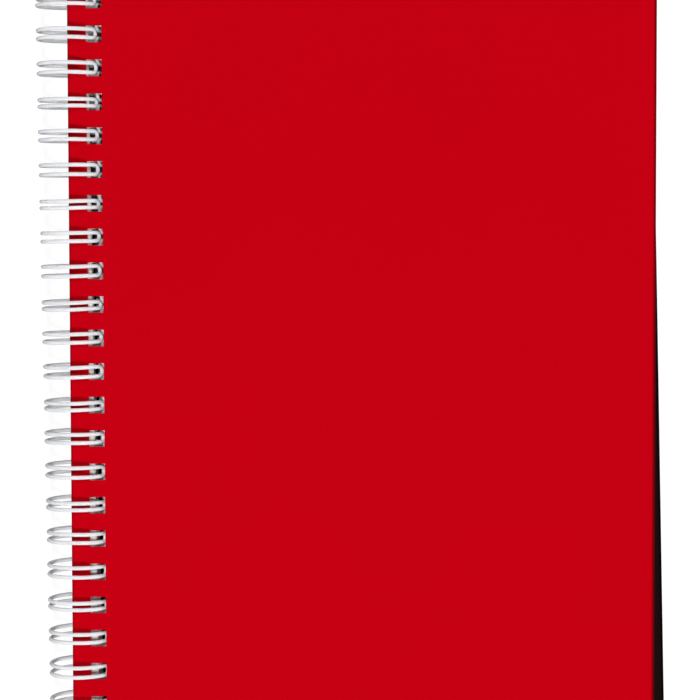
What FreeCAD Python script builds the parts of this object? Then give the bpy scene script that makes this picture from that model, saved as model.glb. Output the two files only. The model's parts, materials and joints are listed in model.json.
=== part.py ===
"""A5 notebook bound with a twin-loop wire: red front cover, black back cover, 57 loose-hung sheets and one white coated wire.

Every leaf is punched with the same row of nearly square holes along its spine edge, and all of them hang on one wire whose loops are circles about a common axis, so every leaf turns about that axis.

Frame: +Y along the spine, +X towards the fore-edge, +Z up. The notebook lies closed as it does on a table: the round wire stands on z = 0 at the spine, and the back cover's fore-edge touches z = 0, so the leaves lean by "lie_tilt".
The loops' common axis is at x = -shift_x, z = outside radius of the wire's loops.
"""

import FreeCAD, Part
import math
import os
import Sketcher

V = FreeCAD.Vector
doc = FreeCAD.newDocument("notebook")

# ---------------------------------------------------------------- dimensions
sheet = doc.addObject("Spreadsheet::Sheet", "dims")
CELLS = [
    # punched row, shared by every leaf: three loops to the inch
    ("loop_count", 24, "loops along the spine, one hole for each in every leaf"),
    ("loop_pitch", 25.4 / 3, "centre to centre of the holes"),
    ("hole_width", 3.9, "nearly square hole, across the spine"),
    ("hole_height", 4.2, "nearly square hole, along the spine"),
    ("hole_margin", 4.6, "spine edge to the near side of the holes"),
    # covers
    ("cover_width", 148.0, "A5 short side"),
    ("cover_length", 210.0, "A5 long side"),
    ("cover_thick", 0.6, "plastic cover"),
    ("cover_corner", 3.0, "rounding of the fore-edge corners"),
    # sheets
    ("sheet_count", 57, "sheets in the block"),
    ("sheet_width", 145.0, "sheets stand back from the covers"),
    ("sheet_length", 206.0, "sheets stand back from the covers"),
    ("sheet_thick", 0.09, "75 g/m2 writing paper"),
    ("sheet_step", 0.092, "from one sheet's face to the next one's"),
    # wire
    ("wire_dia", 1.0, "coated wire"),
    ("ring_radius", 7.85, "loop axis to the wire's centre line"),
    ("finger_a", 2.08, "strand spacing of the first loop of each three"),
    ("finger_b", 2.39, "strand spacing of the second loop of each three"),
    ("finger_c", 1.66, "strand spacing of the third loop of each three"),
    ("offset_a", 0.12, "first loop's distance from its hole's middle"),
    ("offset_b", 0.03, "second loop's distance from its hole's middle"),
    ("offset_c", -0.15, "third loop's distance from its hole's middle"),
    ("root_bend", 0.9, "bend between a strand and the bar to the next loop"),
    ("root_angle", 24.6, "where the bars lie round the loops, above the +X direction"),
    ("tip_angle", 28.6, "where the loops' closed tips lie"),
    ("stub_length", 1.6, "cut end of the wire beside the first and last loop"),
    # where the leaves hang on the loops: level at the holes, spine edge, turn in plan
    ("front_level", 5.3, "front cover's mid-plane at its holes, above the loop axis"),
    ("front_edge", -0.81, "front cover's spine edge at mid length"),
    ("front_turn", -0.65, "front cover, degrees about +Z"),
    ("front_pitch", 0.70, "front cover leans down onto the block"),
    ("front_roll", -0.25, "front cover, degrees about +X: it rides higher on the last loops than on the first"),
    ("back_level", -3.0, "back cover's mid-plane"),
    ("back_edge", 0.79, "back cover's spine edge at mid length"),
    ("back_turn", 0.60, "back cover, degrees about +Z"),
    ("block_base", -2.6, "underside of the lowest sheet"),
    ("block_edge", 0.12, "sheets' spine edge"),
    ("block_twist", 0.22, "degrees about +Z, from the lowest sheet at this to the top one at minus this"),
    # the whole notebook as it lies
    ("lie_tilt", 1.93, "leaves lean down towards the fore-edge"),
    ("shift_x", -70.662, "loop axis to the middle of the notebook's length in X"),
    ("shift_y", 0.064, "middle of the spine to the middle of the notebook's length in Y"),
]
for row, (alias, value, note) in enumerate(CELLS, start=1):
    sheet.set("A%d" % row, alias)
    sheet.set("B%d" % row, repr(value))
    sheet.setAlias("B%d" % row, alias)
    sheet.set("C%d" % row, note)
doc.recompute()


def cell(alias):
    return float(sheet.get(alias))


R = cell("ring_radius")
OUTER = R + cell("wire_dia") / 2

# The notebook's own frame, put where it lies: leaned about the loop axis, then lifted until the loops touch z = 0.
LIE = FreeCAD.Placement(
    V(cell("shift_x"), cell("shift_y"), OUTER),
    FreeCAD.Rotation(V(0, 1, 0), cell("lie_tilt")),
)


# ---------------------------------------------------------------- leaves
def origin_plane(body, role):
    return next(f for f in body.Origin.OriginFeatures if f.Role == role)


def rectangle(sk, names):
    """Four lines and their corners, in a sketch, with the x of the near side at names[0], its width at names[1], the middle's y at names[2] and its height at names[3]. An entry of None is zero."""
    x, w, y, h = [0.0 if n is None else n[1] for n in names]
    p = [V(x, y - h / 2, 0), V(x + w, y - h / 2, 0), V(x + w, y + h / 2, 0), V(x, y + h / 2, 0)]
    first = len(sk.Geometry)
    for i in range(4):
        sk.addGeometry(Part.LineSegment(p[i], p[(i + 1) % 4]), False)
    a, b, c, d = range(first, first + 4)
    for i, j in ((a, b), (b, c), (c, d), (d, a)):
        sk.addConstraint(Sketcher.Constraint("Coincident", i, 2, j, 1))
    for i in (a, c):
        sk.addConstraint(Sketcher.Constraint("Horizontal", i))
    for i in (b, d):
        sk.addConstraint(Sketcher.Constraint("Vertical", i))

    def named(constraint, label, formula):
        n = sk.addConstraint(constraint)
        sk.renameConstraint(n, label)
        sk.setExpression("Constraints." + label, formula)

    if names[0] is None:
        sk.addConstraint(Sketcher.Constraint("PointOnObject", a, 1, -2))
    else:
        named(Sketcher.Constraint("DistanceX", -1, 1, a, 1, x), "near_side", names[0][0])
    named(Sketcher.Constraint("DistanceX", a, 1, a, 2, w), "across", names[1][0])
    named(Sketcher.Constraint("DistanceY", b, 1, b, 2, h), "along", names[3][0])
    low = y - h / 2
    named(
        Sketcher.Constraint("DistanceY", a, 1, -1, 1, -low),
        "low_side",
        "(%s) / 2 - (%s)" % (names[3][0], "0" if names[2] is None else names[2][0]),
    )


def leaf(label, width, length, thick, placement, corner=None):
    """One punched leaf: its spine edge on the body's Y axis, its underside on the body's XY plane."""
    body = doc.addObject("PartDesign::Body", label)
    body.Label = label
    outline = body.newObject("Sketcher::SketchObject", label + "_outline")
    outline.AttachmentSupport = [(origin_plane(body, "XY_Plane"), "")]
    outline.MapMode = "FlatFace"
    rectangle(outline, [None, ("dims." + width, cell(width)), None, ("dims." + length, cell(length))])
    plate = body.newObject("PartDesign::Pad", label + "_plate")
    plate.Profile = outline
    plate.setExpression("Length", "dims." + thick)
    outline.Visibility = False
    doc.recompute()
    if corner:
        far = [
            "Edge%d" % (i + 1)
            for i, e in enumerate(plate.Shape.Edges)
            if abs(e.BoundBox.ZLength - cell(thick)) < 1e-6 and e.BoundBox.XMin > cell(width) / 2
        ]
        rounding = body.newObject("PartDesign::Fillet", label + "_corners")
        rounding.Base = (plate, far)
        rounding.setExpression("Radius", "dims." + corner)
        doc.recompute()
    before = body.Shape.Volume
    punch = body.newObject("Sketcher::SketchObject", label + "_punch")
    punch.AttachmentSupport = [(origin_plane(body, "XY_Plane"), "")]
    punch.MapMode = "FlatFace"
    first_y = -(cell("loop_count") - 1) / 2 * cell("loop_pitch")
    rectangle(
        punch,
        [
            ("dims.hole_margin", cell("hole_margin")),
            ("dims.hole_width", cell("hole_width")),
            ("-(dims.loop_count - 1) / 2 * dims.loop_pitch", first_y),
            ("dims.hole_height", cell("hole_height")),
        ],
    )
    hole = body.newObject("PartDesign::Pocket", label + "_hole")
    hole.Profile = punch
    hole.Reversed = True
    hole.setExpression("Length", "dims.%s * 2" % thick)
    punch.Visibility = False
    row = body.newObject("PartDesign::LinearPattern", label + "_row")
    row.Originals = [hole]
    row.Direction = (origin_axis(body), [""])
    row.setExpression("Length", "(dims.loop_count - 1) * dims.loop_pitch")
    row.setExpression("Occurrences", "dims.loop_count")
    body.Tip = row
    body.Placement = placement
    doc.recompute()
    punched = cell("loop_count") * cell("hole_width") * cell("hole_height") * cell(thick)
    if abs(before - body.Shape.Volume - punched) > 1e-3 * punched:
        raise RuntimeError("%s: the holes took %.4f and not %.4f" % (label, before - body.Shape.Volume, punched))
    return body


def origin_axis(body):
    return next(f for f in body.Origin.OriginFeatures if f.Role == "Y_Axis")


def hung(edge, level, thick, turn=0.0, pitch=0.0, at_x=0.0, slip=0.0, roll=0.0):
    """Where a leaf hangs: its spine edge at edge, its mid-plane at level where x is at_x, turned in plan, leaned down and rolled, in the frame of the lying notebook."""
    lean = FreeCAD.Rotation(V(0, 1, 0), pitch)
    plan = FreeCAD.Rotation(V(0, 0, 1), turn)
    both = FreeCAD.Rotation(V(1, 0, 0), roll).multiply(lean).multiply(plan)
    # the middle of the hole row stays at the middle of the loops when the leaf is turned
    middle = cell("hole_margin") + cell("hole_width") / 2
    base = V(edge, slip - middle * math.sin(math.radians(turn)), level + math.tan(math.radians(pitch)) * (at_x - edge))
    own = FreeCAD.Placement(base, both).multiply(FreeCAD.Placement(V(0, 0, -thick / 2), FreeCAD.Rotation()))
    return LIE.multiply(own)


parts = []
t = cell("cover_thick")
parts.append(
    leaf(
        "back_cover",
        "cover_width",
        "cover_length",
        "cover_thick",
        hung(cell("back_edge"), cell("back_level"), t, cell("back_turn")),
        "cover_corner",
    )
)

# Loose sheets never line up exactly: each one lies a little out of line with its neighbours, within the play of its holes.
step, thick = cell("sheet_step"), cell("sheet_thick")
for n in range(1, int(cell("sheet_count")) + 1):
    edge = cell("block_edge") + 0.07 * math.sin(2.3 * n) + 0.02 * math.sin(0.31 * n)
    twist = cell("block_twist") * (1 - 2 * (n - 1) / (cell("sheet_count") - 1))
    turn = twist + 0.03 * math.sin(1.7 * n + 0.6)
    slip = 0.10 * math.sin(2.9 * n + 1.1)
    level = cell("block_base") + (n - 1) * step + thick / 2
    parts.append(
        leaf("sheet_%02d" % n, "sheet_width", "sheet_length", "sheet_thick", hung(edge, level, thick, turn, 0.0, 0.0, slip))
    )

parts.append(
    leaf(
        "front_cover",
        "cover_width",
        "cover_length",
        "cover_thick",
        hung(cell("front_edge"), cell("front_level"), t, cell("front_turn"), cell("front_pitch"), 6.0, 0.0, cell("front_roll")),
        "cover_corner",
    )
)


# ---------------------------------------------------------------- wire
def on_ring(angle, y):
    a = math.radians(angle)
    return V(R * math.cos(a), y, R * math.sin(a))


def along_ring(angle):
    a = math.radians(angle)
    return V(-math.sin(a), 0, math.cos(a))


def ring_arc(start, end, y):
    return Part.Arc(on_ring(start, y), on_ring((start + end) / 2, y), on_ring(end, y)).toShape()


def bend(start, forward, side, radius, degrees):
    """An arc that sets out along forward and curves towards side. Returns (edge, its end)."""
    def point(a):
        a = math.radians(a)
        return start + forward * (radius * math.sin(a)) + side * (radius * (1 - math.cos(a)))

    return Part.Arc(start, point(degrees / 2.0), point(degrees)).toShape(), point(degrees)


count, pitch = int(cell("loop_count")), cell("loop_pitch")
rb = cell("root_bend")
spacing = [cell("finger_a"), cell("finger_b"), cell("finger_c")]
offset = [cell("offset_a"), cell("offset_b"), cell("offset_c")]
# strands leave the ring where the bend to the bar begins, so that the bar's middle is at root_angle
leave = cell("root_angle") - math.degrees(math.atan(rb / R))

edges = []
previous = None
for i in range(count):
    kind = (i + 1) % 3
    middle = ((count - 1) / 2.0 - i) * pitch + offset[kind]
    w = spacing[kind]
    upper, lower = middle + w / 2, middle - w / 2
    up, down = V(0, 1, 0), V(0, -1, 0)
    start = on_ring(leave, upper)
    # the bar's bend at the first strand, drawn from the strand and used backwards
    arc, corner = bend(start, along_ring(leave), up, rb, 90)
    if previous is None:
        previous = corner + up * cell("stub_length")
    edges.append(Part.LineSegment(previous, corner).toShape())
    edges.append(arc)
    # down from the bar, round underneath and over the top to the tip
    tip_leave = cell("tip_angle") + math.degrees(math.atan(w / 2 / R))
    edges.append(ring_arc(leave, tip_leave - 360, upper))
    arc, _ = bend(on_ring(tip_leave, upper), along_ring(tip_leave) * -1, down, w / 2, 180)
    edges.append(arc)
    edges.append(ring_arc(tip_leave - 360, leave, lower))
    arc, corner = bend(on_ring(leave, lower), along_ring(leave), down, rb, 90)
    edges.append(arc)
    previous = corner
edges.append(Part.LineSegment(previous, previous + V(0, -1, 0) * cell("stub_length")).toShape())

line = doc.addObject("Part::Feature", "wire_line")
line.Shape = Part.Wire(Part.__sortEdges__(edges))
line.Visibility = False
section = doc.addObject("Part::Circle", "wire_section")
section.setExpression("Radius", "dims.wire_dia / 2")
begin = edges[0].Vertexes[0].Point
section.Placement = FreeCAD.Placement(
    begin, FreeCAD.Rotation(V(0, 0, 1), V(0, -1, 0))
)
section.Visibility = False
wire = doc.addObject("Part::Sweep", "binding_wire")
wire.Label = "binding_wire"
wire.Sections = [section]
wire.Spine = (line, ["Edge%d" % (i + 1) for i in range(len(line.Shape.Edges))])
wire.Solid = True
wire.Frenet = False
doc.recompute()
wire.Placement = LIE
doc.recompute()
parts.append(wire)

# ---------------------------------------------------------------- checks and export
for obj in doc.Objects:
    bad = [s for s in obj.State if s in ("Invalid", "Error")]
    if bad:
        raise RuntimeError("%s failed: %s" % (obj.Label, obj.State))
length = line.Shape.Length
should = math.pi * (cell("wire_dia") / 2) ** 2 * length
print("wire: %.0f mm long, volume %.1f against %.1f" % (length, wire.Shape.Volume, should))
if abs(wire.Shape.Volume - should) > 0.01 * should:
    raise RuntimeError("the wire's volume is wrong")
os.makedirs("parts", exist_ok=True)
for old in os.listdir("parts"):
    if old.endswith(".step"):
        os.remove(os.path.join("parts", old))
box = FreeCAD.BoundBox()
for obj in parts:
    shape = obj.Shape
    if shape.isNull() or not shape.isValid() or len(shape.Solids) != 1:
        raise RuntimeError("%s has no single valid solid" % obj.Label)
    # the tight box, because the quick one of a curved piece stands off
    box.add(shape.optimalBoundingBox(False, False))
    shape.exportStep(os.path.join("parts", obj.Label + ".step"))
print("%d nodes, box %.3f %.3f %.3f to %.3f %.3f %.3f" % (len(parts), box.XMin, box.YMin, box.ZMin, box.XMax, box.YMax, box.ZMax))
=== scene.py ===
"""Looks of an A5 wire-bound notebook: a red front cover, a black back cover and 57 white sheets on a white twin-loop wire."""

import json
import math

import bpy
from mathutils import Matrix, Vector


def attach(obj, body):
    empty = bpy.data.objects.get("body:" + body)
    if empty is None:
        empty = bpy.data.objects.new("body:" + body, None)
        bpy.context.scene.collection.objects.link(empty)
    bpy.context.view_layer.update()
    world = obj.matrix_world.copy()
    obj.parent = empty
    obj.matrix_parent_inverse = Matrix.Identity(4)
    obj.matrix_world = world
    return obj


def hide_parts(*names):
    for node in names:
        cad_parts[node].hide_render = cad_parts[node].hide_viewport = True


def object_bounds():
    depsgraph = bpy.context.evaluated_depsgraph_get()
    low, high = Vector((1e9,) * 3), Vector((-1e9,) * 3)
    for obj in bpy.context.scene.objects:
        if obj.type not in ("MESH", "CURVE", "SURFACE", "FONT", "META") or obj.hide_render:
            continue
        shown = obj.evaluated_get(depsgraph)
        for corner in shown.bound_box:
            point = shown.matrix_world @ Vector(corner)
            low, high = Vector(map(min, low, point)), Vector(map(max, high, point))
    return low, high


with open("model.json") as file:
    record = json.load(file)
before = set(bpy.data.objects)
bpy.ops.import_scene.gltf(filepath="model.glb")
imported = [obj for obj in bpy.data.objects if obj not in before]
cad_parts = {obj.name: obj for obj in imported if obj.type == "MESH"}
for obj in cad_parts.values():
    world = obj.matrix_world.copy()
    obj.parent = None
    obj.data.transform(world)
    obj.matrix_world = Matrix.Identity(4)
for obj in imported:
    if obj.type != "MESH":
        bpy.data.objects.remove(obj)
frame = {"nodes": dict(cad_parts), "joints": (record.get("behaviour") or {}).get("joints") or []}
cad_low, cad_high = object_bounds()
nodes = frame["nodes"]
scene = bpy.context.scene
MM = 0.001


# ---------------------------------------------------------------- frame of the rings
def ring_axis():
    """Where the loops' common axis is, from the joint that turns the front cover."""
    for j in frame["joints"]:
        if j["child"] == "front_cover":
            return Vector(j["pos_m"])
    raise ValueError("no joint turns the front cover")


AXIS = ring_axis()
TILT = math.radians(1.93)
# rings' own frame, millimetres, into the row frame, metres
LIE = Matrix.Translation(AXIS + Vector((0, 0.000064, 0))) @ Matrix.Rotation(TILT, 4, "Y") @ Matrix.Scale(MM, 4)


# ---------------------------------------------------------------- node helpers
class Nodes:
    """A small builder of shader nodes."""

    def __init__(self, tree):
        self.tree = tree
        self.x = -1400

    def add(self, kind, **values):
        n = self.tree.nodes.new(kind)
        n.location = (self.x, 0)
        self.x += 60
        for k, v in values.items():
            if hasattr(n, k):
                setattr(n, k, v)
            else:
                n.inputs[k].default_value = v
        return n

    def link(self, a, b):
        self.tree.links.new(a, b)

    def math(self, op, a, b=None, clamp=False):
        n = self.add("ShaderNodeMath", operation=op, use_clamp=clamp)
        for i, v in enumerate((a, b)):
            if v is None:
                continue
            if isinstance(v, (int, float)):
                n.inputs[i].default_value = v
            else:
                self.link(v, n.inputs[i])
        return n.outputs[0]

    def ramp(self, value, low, high, out_low=0.0, out_high=1.0):
        n = self.add("ShaderNodeMapRange")
        n.clamp = True
        n.interpolation_type = "SMOOTHSTEP"
        n.inputs["From Min"].default_value = low
        n.inputs["From Max"].default_value = high
        n.inputs["To Min"].default_value = out_low
        n.inputs["To Max"].default_value = out_high
        self.link(value, n.inputs["Value"])
        return n.outputs["Result"]

    def mix(self, factor, a, b, blend="MIX"):
        n = self.add("ShaderNodeMix")
        n.data_type = "RGBA"
        n.blend_type = blend
        for socket, v in ((n.inputs[0], factor), (n.inputs[6], a), (n.inputs[7], b)):
            if isinstance(v, bpy.types.NodeSocket):
                self.link(v, socket)
            else:
                socket.default_value = v
        return n.outputs[2]

    def noise(self, vector, scale, detail=2.0, roughness=0.5):
        n = self.add("ShaderNodeTexNoise")
        n.inputs["Scale"].default_value = scale
        n.inputs["Detail"].default_value = detail
        n.inputs["Roughness"].default_value = roughness
        self.link(vector, n.inputs["Vector"])
        return n.outputs["Fac"]

    def bump(self, height, strength, distance, normal=None):
        n = self.add("ShaderNodeBump")
        n.inputs["Strength"].default_value = strength
        n.inputs["Distance"].default_value = distance
        self.link(height, n.inputs["Height"])
        if normal is not None:
            self.link(normal, n.inputs["Normal"])
        return n.outputs["Normal"]


def material(name):
    m = bpy.data.materials.new(name)
    m.use_nodes = True
    m.node_tree.nodes.clear()
    n = Nodes(m.node_tree)
    out = n.add("ShaderNodeOutputMaterial")
    shader = n.add("ShaderNodeBsdfPrincipled")
    n.link(shader.outputs[0], out.inputs["Surface"])
    return m, n, shader


def lin(r, g, b):
    def one(c):
        c /= 255.0
        return c / 12.92 if c <= 0.04045 else ((c + 0.055) / 1.055) ** 2.4

    return (one(r), one(g), one(b), 1.0)


def edge_lines(node):
    """The two long edges of a leaf as lines x = a + b * y, from its own mesh: (spine edge, fore-edge)."""
    points = [v.co.copy() for v in nodes[node].data.vertices]
    # the spine edge ends in square corners: the mesh's outermost points of the spine side, top and bottom
    top = max(points, key=lambda c: c.y * 1.0 - c.x * 0.6)
    bottom = min(points, key=lambda c: c.y * 1.0 + c.x * 0.6)
    slope = (top.x - bottom.x) / (top.y - bottom.y)
    start = top.x - slope * top.y
    far = max(c.x - slope * c.y for c in points)
    return slope, start, far


def cover_material(name, node, face, wall, rough):
    """Smooth plastic board: a fine-grained skin, rolled long edges with painted shade along them, and cut walls."""
    m, n, s = material(name)
    co = n.add("ShaderNodeTexCoord")
    at, normal = co.outputs["Object"], co.outputs["Normal"]
    part = n.add("ShaderNodeSeparateXYZ")
    n.link(normal, part.inputs[0])
    upright = n.math("ABSOLUTE", part.outputs["Z"])
    # cut walls, where the surface turns away from the face
    side = n.ramp(upright, 0.45, 0.85, 1.0, 0.0)
    # the die has pressed both long edges down a little, as a bump; painted shade darkens the colour along both long
    # edges, most at the fore-edge
    slope, start, far = edge_lines(node)
    place = n.add("ShaderNodeSeparateXYZ")
    n.link(at, place.inputs[0])
    across = n.math("SUBTRACT", place.outputs["X"], n.math("MULTIPLY", place.outputs["Y"], slope))
    inner = n.math("SUBTRACT", across, start)
    outer = n.math("SUBTRACT", far, across)
    rim = n.math("MINIMUM", inner, outer)
    rolled = n.ramp(rim, 0.0001, 0.0009)
    # painted shade: the colour is mixed towards near-black within about a millimetre of the spine edge and, more
    # strongly, of the fore-edge
    shade = n.math("MULTIPLY", n.ramp(inner, 0.00005, 0.0007, 0.52, 1.0), n.ramp(outer, 0.0002, 0.0010, 0.24, 1.0))
    # faint cloudiness of the moulded sheet
    cloud = n.noise(at, 18.0, 3.0)
    tone = n.ramp(cloud, 0.3, 0.7, 0.0, 1.0)
    deeper = tuple(c * 0.985 for c in face[:3]) + (1.0,)
    # the near-black of the painted rim shade
    rim_shade_colour = tuple(c * 0.04 for c in face[:3]) + (1.0,)
    base = n.mix(shade, rim_shade_colour, n.mix(tone, face, deeper))
    n.link(n.mix(side, base, wall), s.inputs["Base Color"])
    # skin: very fine grain, plus slow waviness that only shows in a reflection
    grain = n.noise(at, 5200.0, 2.0, 0.6)
    wave = n.noise(at, 55.0, 1.0)
    first = n.bump(rolled, 0.6, 0.0002, n.bump(wave, 0.05, 0.0006))
    n.link(n.bump(grain, 0.10, 0.00002, first), s.inputs["Normal"])
    smear = n.noise(at, 40.0, 4.0, 0.6)
    n.link(n.ramp(smear, 0.25, 0.75, rough - 0.01, rough + 0.02), s.inputs["Roughness"])
    s.inputs["IOR"].default_value = 1.49
    s.inputs["Specular IOR Level"].default_value = 0.18
    return m, s


RED, red_shader = cover_material("red_cover_plastic", "front_cover", lin(191, 0, 18), lin(150, 44, 50), 0.34)
BLACK, black_shader = cover_material("black_cover_plastic", "back_cover", lin(24, 14, 15), lin(60, 54, 54), 0.34)


def paper_material():
    """Uncoated paper: soft fibres, and on both faces the pale lines of ruled writing paper."""
    m, n, s = material("writing_paper")
    co = n.add("ShaderNodeTexCoord")
    at, normal = co.outputs["Object"], co.outputs["Normal"]
    fibre = n.noise(at, 900.0, 5.0, 0.65)
    cloud = n.noise(at, 160.0, 3.0, 0.6)
    white = lin(245, 244, 239)
    warm = lin(241, 240, 234)
    base = n.mix(n.ramp(cloud, 0.3, 0.7), white, warm)
    # ruled lines run away from the spine, 7 mm apart, between the top and bottom margins
    place = n.add("ShaderNodeSeparateXYZ")
    n.link(at, place.inputs[0])
    y = place.outputs["Y"]
    turned = n.math("MODULO", n.math("ADD", y, 1.0035), 0.007)
    near = n.math("ABSOLUTE", n.math("SUBTRACT", turned, 0.0035))
    line = n.ramp(near, 0.00010, 0.00022, 1.0, 0.0)
    inside = n.math("MULTIPLY", n.ramp(y, 0.0830, 0.0831, 1.0, 0.0), n.ramp(y, -0.0925, -0.0924, 0.0, 1.0))
    facing = n.add("ShaderNodeSeparateXYZ")
    n.link(normal, facing.inputs[0])
    flat = n.ramp(n.math("ABSOLUTE", facing.outputs["Z"]), 0.7, 0.9)
    ink = n.math("MULTIPLY", n.math("MULTIPLY", line, inside), flat)
    page = n.mix(n.math("MULTIPLY", ink, 0.75), base, lin(150, 172, 196))
    # cut edges: each sheet a little different from its neighbours, and the walls of the punched holes painted grey as
    # shade
    layers = n.add("ShaderNodeVectorMath", operation="MULTIPLY")
    layers.inputs[1].default_value = (60.0, 60.0, 5200.0)
    n.link(at, layers.inputs[0])
    stripe = n.ramp(n.noise(layers.outputs[0], 1.0, 2.0, 0.6), 0.30, 0.70)
    trimmed = n.mix(stripe, lin(222, 219, 212), lin(250, 248, 243))
    # painted shade: cut walls within the hole row, between 3 and 10.5 mm from the ring axis, take a dark grey
    row = n.math("LESS_THAN", place.outputs["X"], AXIS.x + 0.0105)
    behind = n.math("GREATER_THAN", place.outputs["X"], AXIS.x + 0.0030)
    within = n.math("LESS_THAN", n.math("ABSOLUTE", y), 0.1005)
    hole_wall_shade = n.math("MULTIPLY", n.math("MULTIPLY", row, behind), within)
    cut = n.mix(hole_wall_shade, trimmed, lin(104, 104, 106))
    n.link(n.mix(flat, cut, page), s.inputs["Base Color"])
    n.link(n.bump(fibre, 0.25, 0.00004), s.inputs["Normal"])
    n.link(n.ramp(fibre, 0.3, 0.7, 0.80, 0.92), s.inputs["Roughness"])
    s.inputs["IOR"].default_value = 1.45
    s.inputs["Specular IOR Level"].default_value = 0.25
    return m


PAPER = paper_material()


def wire_material():
    """White nylon coat on steel wire: glossy, a touch uneven along its length."""
    m, n, s = material("white_coated_wire")
    co = n.add("ShaderNodeTexCoord")
    at = co.outputs["Object"]
    cloud = n.noise(at, 240.0, 3.0, 0.6)
    base = n.mix(n.ramp(cloud, 0.3, 0.7), lin(240, 241, 244), lin(231, 233, 237))
    n.link(base, s.inputs["Base Color"])
    peel = n.noise(at, 1300.0, 2.0, 0.5)
    n.link(n.bump(peel, 0.12, 0.00003), s.inputs["Normal"])
    n.link(n.ramp(cloud, 0.3, 0.7, 0.20, 0.30), s.inputs["Roughness"])
    s.inputs["IOR"].default_value = 1.53
    s.inputs["Coat Weight"].default_value = 0.3
    s.inputs["Coat Roughness"].default_value = 0.12
    return m


WIRE = wire_material()


def paint(obj, mat):
    if not obj.material_slots:
        obj.data.materials.append(mat)
    for slot in obj.material_slots:
        slot.link = "OBJECT"
        slot.material = mat


# ---------------------------------------------------------------- covers and sheets keep their CAD shape
def soften(obj, width, segments):
    """Rounds the sharp edges of a punched leaf, without changing its mesh."""
    weld = obj.modifiers.new("weld", "WELD")
    weld.merge_threshold = 0.000002
    bevel = obj.modifiers.new("edge", "BEVEL")
    bevel.width = width
    bevel.segments = segments
    bevel.limit_method = "ANGLE"
    bevel.angle_limit = math.radians(40)
    bevel.harden_normals = False
    bevel.use_clamp_overlap = True


for node, obj in nodes.items():
    if node == "front_cover":
        paint(obj, RED)
        soften(obj, 0.00022, 3)
    elif node == "back_cover":
        paint(obj, BLACK)
        soften(obj, 0.00022, 3)
    elif node.startswith("sheet_"):
        paint(obj, PAPER)


# ---------------------------------------------------------------- wire
PITCH = 25.4 / 3
COUNT = 24
RADIUS, THICK = 7.85, 1.0
SPACING = (2.08, 2.39, 1.66)
OFFSET = (0.12, 0.03, -0.15)
ROOT_BEND, ROOT_ANGLE, TIP_ANGLE, STUB = 0.9, 24.6, 28.6, 1.6


def ring_point(degrees, y, radius=RADIUS):
    a = math.radians(degrees)
    return Vector((radius * math.cos(a), y, radius * math.sin(a)))


def ring_way(degrees):
    a = math.radians(degrees)
    return Vector((-math.sin(a), 0, math.cos(a)))


def turn(start, forward, side, radius, degrees, steps):
    """Points of an arc that sets out along forward and curves towards side, after its start."""
    out = []
    for k in range(1, steps + 1):
        a = math.radians(degrees * k / steps)
        out.append(start + forward * (radius * math.sin(a)) + side * (radius * (1 - math.cos(a))))
    return out


def uneven(i, degrees):
    """How far loop i is from a true circle at an angle, in millimetres: (along the spine, outwards). Nothing at its root and tip."""
    free = max(0.0, min(1.0, (degrees % 360 - 45) / 60)) * max(0.0, min(1.0, (325 - degrees % 360) / 60))
    free = free * free * (3 - 2 * free)
    lean = math.sin(12.9898 * (i + 1)) * 0.13
    sway = math.sin(4.1 * i + 0.9) * 0.07 * math.sin(math.radians(degrees))
    out = math.sin(7.77 * i + 2.0) * 0.05
    return (lean + sway) * free, out * free


def wire_line():
    """The centre line of the whole wire, in the rings' frame."""
    up, down = Vector((0, 1, 0)), Vector((0, -1, 0))
    leave = ROOT_ANGLE - math.degrees(math.atan(ROOT_BEND / RADIUS))
    points = []
    for i in range(COUNT):
        kind = (i + 1) % 3
        middle = ((COUNT - 1) / 2.0 - i) * PITCH + OFFSET[kind]
        w = SPACING[kind]
        upper, lower = middle + w / 2, middle - w / 2
        start = ring_point(leave, upper)
        bar_to_strand = [start] + turn(start, ring_way(leave), up, ROOT_BEND, 90, 8)
        bar_to_strand.reverse()
        if not points:
            points.append(bar_to_strand[0] + up * STUB)
            points.append(bar_to_strand[0] + up * (STUB * 0.5))
        points += bar_to_strand
        tip = TIP_ANGLE + math.degrees(math.atan(w / 2 / RADIUS))
        steps = 60
        for k in range(1, steps + 1):
            angle = leave + (tip - 360 - leave) * k / steps
            along, out = uneven(i, angle)
            points.append(ring_point(angle, upper + along, RADIUS - max(out, 0.0)))
        points += turn(ring_point(tip, upper), -ring_way(tip), down, w / 2, 180, 14)
        for k in range(1, steps + 1):
            angle = tip - 360 + (leave - tip + 360) * k / steps
            along, out = uneven(i, angle)
            points.append(ring_point(angle, lower + along, RADIUS - max(out, 0.0)))
        last = turn(ring_point(leave, lower), ring_way(leave), down, ROOT_BEND, 90, 8)
        points += last
    points.append(points[-1] + down * (STUB * 0.5))
    points.append(points[-1] + down * (STUB * 0.5))
    return points


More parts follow.
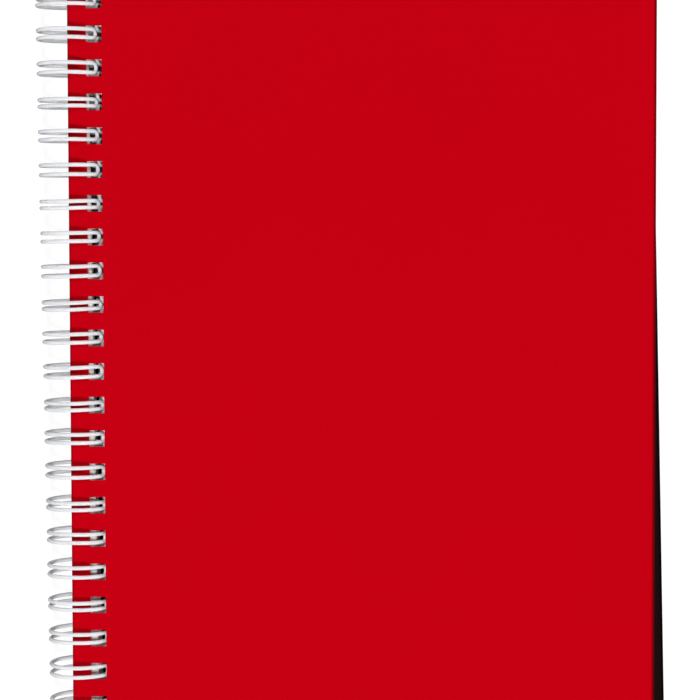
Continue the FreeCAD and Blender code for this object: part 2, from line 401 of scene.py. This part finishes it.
def tube(name, points, radius, sides):
    """A closed tube along points, its section carried along without twist, and its two cut ends slightly rounded."""
    clean = [points[0]]
    for p in points[1:]:
        if (p - clean[-1]).length > 1e-4:
            clean.append(p)
    points = clean
    count = len(points)
    ways = []
    for i in range(count):
        a, b = points[max(0, i - 1)], points[min(count - 1, i + 1)]
        ways.append((b - a).normalized())
    normal = ways[0].orthogonal().normalized()
    rings = []
    for i in range(count):
        if i:
            normal = ways[i - 1].rotation_difference(ways[i]) @ normal
            normal = (normal - ways[i] * normal.dot(ways[i])).normalized()
        rings.append((points[i], normal.copy(), ways[i].cross(normal)))
    verts, faces = [], []

    def ring(centre, n, b, r):
        first = len(verts)
        for k in range(sides):
            a = 2 * math.pi * k / sides
            verts.append(LIE @ (centre + n * (r * math.cos(a)) + b * (r * math.sin(a))))
        return first

    def bridge(a, b):
        for k in range(sides):
            j = (k + 1) % sides
            faces.append((a + k, a + j, b + j, b + k))

    starts = []
    c, n, b = rings[0]
    for inset, shrink in ((0.0, 0.80), (0.03, 0.93), (0.10, 1.0)):
        starts.append(ring(c + ways[0] * inset, n, b, radius * shrink))
    for c, n, b in rings[1:-1]:
        starts.append(ring(c, n, b, radius))
    c, n, b = rings[-1]
    for inset, shrink in ((0.10, 1.0), (0.03, 0.93), (0.0, 0.80)):
        starts.append(ring(c - ways[-1] * inset, n, b, radius * shrink))
    for a, b in zip(starts, starts[1:]):
        bridge(a, b)
    faces.append(tuple(starts[0] + k for k in reversed(range(sides))))
    faces.append(tuple(starts[-1] + k for k in range(sides)))
    mesh = bpy.data.meshes.new(name)
    mesh.from_pydata([tuple(v) for v in verts], [], faces)
    mesh.validate()
    mesh.update()
    for f in mesh.polygons:
        f.use_smooth = len(f.vertices) == 4
    obj = bpy.data.objects.new(name, mesh)
    scene.collection.objects.link(obj)
    return obj


wire = tube("twin_loop_wire", wire_line(), THICK / 2 * 0.998, 20)
paint(wire, WIRE)
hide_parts("binding_wire")
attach(wire, "binding")


# ---------------------------------------------------------------- floor, light, camera
def floor():
    m, n, s = material("pale_floor")
    co = n.add("ShaderNodeTexCoord")
    cloud = n.noise(co.outputs["Object"], 3.0, 2.0)
    n.link(n.mix(n.ramp(cloud, 0.3, 0.7), (0.15, 0.15, 0.15, 1), (0.145, 0.145, 0.145, 1)), s.inputs["Base Color"])
    s.inputs["Roughness"].default_value = 0.9
    s.inputs["Specular IOR Level"].default_value = 0.1
    s.inputs["Emission Color"].default_value = (1, 1, 1, 1)
    # lit from below like a light table, so that shadows on it stay faint
    away = n.add("ShaderNodeVectorMath", operation="LENGTH")
    n.link(co.outputs["Object"], away.inputs[0])
    glow = n.ramp(away.outputs["Value"], 0.35, 3.0, 0.915, 0.96)
    # no glow under the notebook itself
    spot = n.add("ShaderNodeSeparateXYZ")
    n.link(co.outputs["Object"], spot.inputs[0])
    beside = n.math(
        "MINIMUM",
        n.math("SUBTRACT", spot.outputs["X"], AXIS.x + 0.0015),
        n.math("SUBTRACT", 0.0770, n.math("ABSOLUTE", spot.outputs["X"])),
    )
    under = n.math("MINIMUM", beside, n.math("SUBTRACT", 0.1025, n.math("ABSOLUTE", spot.outputs["Y"])))
    glow = n.math("MULTIPLY", glow, n.ramp(under, 0.0, 0.0020, 1.0, 0.0))
    seen = n.add("ShaderNodeLightPath")
    n.link(n.math("MULTIPLY", glow, n.math("ADD", n.math("MULTIPLY", seen.outputs["Is Camera Ray"], 0.78), 0.22)), s.inputs["Emission Strength"])
    rings, sides = (0.0, 0.4, 1.2, 3.0, 8.0, 25.0), 64
    verts, faces = [(0, 0, 0)], []
    for r in rings[1:]:
        for k in range(sides):
            a = 2 * math.pi * k / sides
            verts.append((r * math.cos(a), r * math.sin(a), 0))
    for k in range(sides):
        faces.append((0, 1 + k, 1 + (k + 1) % sides))
    for j in range(len(rings) - 2):
        a, b = 1 + j * sides, 1 + (j + 1) * sides
        for k in range(sides):
            q = (k + 1) % sides
            faces.append((a + k, b + k, b + q, a + q))
    mesh = bpy.data.meshes.new("floor")
    mesh.from_pydata(verts, [], faces)
    obj = bpy.data.objects.new("floor", mesh)
    scene.collection.objects.link(obj)
    obj.location = (0, 0, cad_low[2] - 0.00002)
    paint(obj, m)


floor()


def softbox(name, at, to, width, height, power, tint=(1, 1, 1)):
    light = bpy.data.lights.new(name, "AREA")
    light.shape = "RECTANGLE"
    light.size, light.size_y = width, height
    light.energy = power
    light.color = tint
    obj = bpy.data.objects.new(name, light)
    scene.collection.objects.link(obj)
    obj.location = at
    way = Vector(to) - Vector(at)
    obj.rotation_euler = way.to_track_quat("-Z", "Y").to_euler()
    return obj


# two overhead boxes shade the loops, and four low banks light the upright edges; none of them shows in a reflection
for name, at, width, height, power in (
    ("key_near", (0.06, -1.16, 2.42), 0.40, 0.40, 44.2),
    ("key_far", (0.06, 1.02, 2.42), 0.40, 0.40, 20.3),
    ("bank_right", (1.9, 0.0, 0.45), 0.4, 1.8, 12.0),
    ("bank_left", (-1.9, 0.0, 0.48), 0.4, 1.8, 10.0),
    ("bank_front", (0.0, -1.9, 0.45), 1.8, 0.4, 7.5),
    ("bank_back", (0.0, 1.9, 0.45), 1.8, 0.4, 9.5),
):
    light = softbox(name, at, (0, 0, 0), width, height, power)
    light.visible_glossy = False
    light.visible_camera = False

world = bpy.data.worlds.new("studio")
scene.world = world
world.use_nodes = True
wn = Nodes(world.node_tree)
world.node_tree.nodes.clear()
w_out = wn.add("ShaderNodeOutputWorld")
w_bg = wn.add("ShaderNodeBackground")
w_co = wn.add("ShaderNodeTexCoord")
w_xyz = wn.add("ShaderNodeSeparateXYZ")
wn.link(w_co.outputs["Generated"], w_xyz.inputs[0])
# pale at the horizon, darker overhead, like a studio with a pale cyclorama
sky = wn.math("MULTIPLY", wn.ramp(w_xyz.outputs["Z"], 0.13, 0.27, 1.0, 0.07), wn.ramp(w_xyz.outputs["Z"], 0.55, 0.92, 1.0, 0.12))
wn.link(wn.mix(sky, (0.0, 0.0, 0.0, 1), (0.97, 0.975, 0.98, 1)), w_bg.inputs["Color"])
# the cyclorama lights the notebook less than it shows behind it, so that the glossy faces keep their colour in low views
w_path = wn.add("ShaderNodeLightPath")
wn.link(wn.math("ADD", wn.math("MULTIPLY", w_path.outputs["Is Camera Ray"], 0.5), 0.5), w_bg.inputs["Strength"])
wn.link(w_bg.outputs[0], w_out.inputs["Surface"])

scene.view_settings.view_transform = "Standard"
scene.view_settings.look = "None"
scene.view_settings.exposure = 0.0
scene.view_settings.gamma = 1.0

cam_data = bpy.data.cameras.new("camera")
cam_data.sensor_fit = "HORIZONTAL"
cam_data.sensor_width = 36.0
cam_data.lens = 2290.4 * 36.0 / 700.0
cam_data.clip_start, cam_data.clip_end = 0.01, 100.0
cam = bpy.data.objects.new("camera", cam_data)
scene.collection.objects.link(cam)
turned = (
    Matrix.Rotation(math.radians(-0.794), 4, "Z")
    @ Matrix.Rotation(math.radians(-0.781), 4, "Y")
    @ Matrix.Rotation(math.radians(-3.295), 4, "X")
)
lie_turn = Matrix.Rotation(TILT, 4, "Y")
place = LIE @ Vector((62.32, 33.62, 582.5))
cam.matrix_world = Matrix.Translation(place) @ lie_turn @ turned
scene.camera = cam
